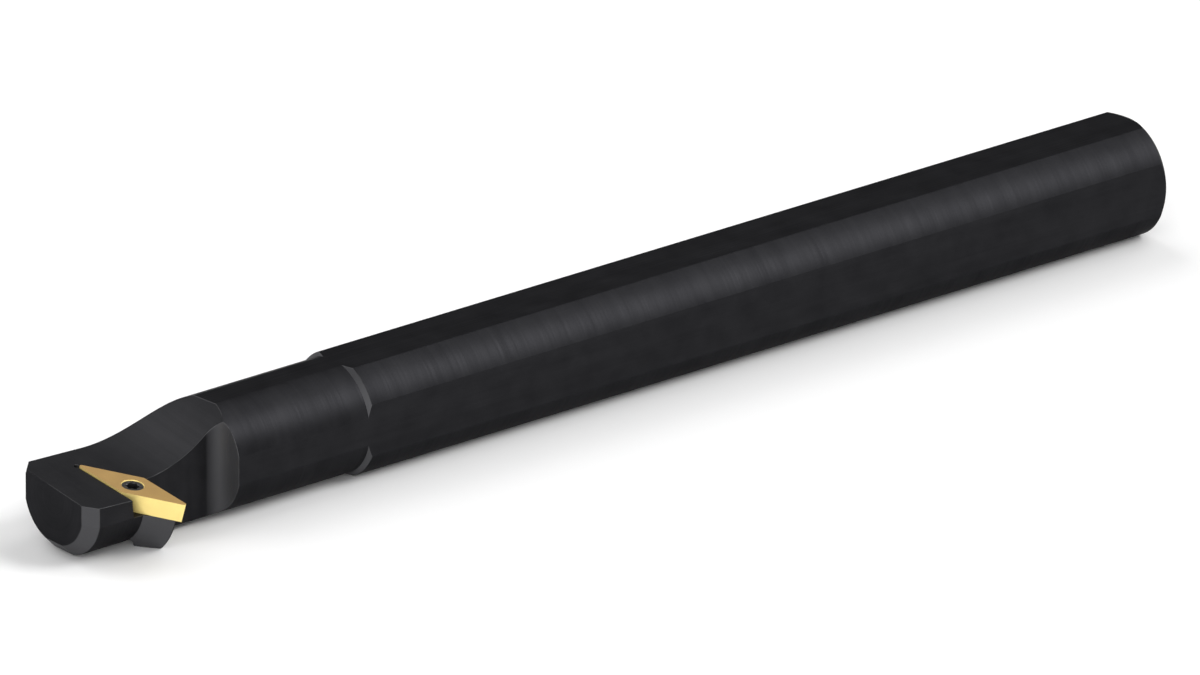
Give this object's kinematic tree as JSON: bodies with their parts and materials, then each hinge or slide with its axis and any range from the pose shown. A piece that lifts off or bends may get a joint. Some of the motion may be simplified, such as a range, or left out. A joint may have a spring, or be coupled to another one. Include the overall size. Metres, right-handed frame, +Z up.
{
  "type": "boring bar",
  "caption": "Black steel boring bar with flats on a round shank, a necked head cut away to a flat, and a gold diamond insert screwed on to cut backwards.",
  "frame": {"origin": "centre of the tail face, on the axis of the shank", "axes": "+X along the bar from the tail to the head, +Y to the side the cutting corner points to, +Z up, out of the insert's face; the cutting corner is at Z = 0"},
  "size_m": [0.215, 0.0232, 0.0183],
  "materials": {
    "black_steel": "black oxide on fine machined steel",
    "coated_carbide": "gold coating on ground carbide",
    "screw_steel": "dark hardened screw steel"
  },
  "bodies": {
    "root": {"bar": "black_steel", "insert": "coated_carbide", "insert_screw": "screw_steel"}
  },
  "joints": []
}
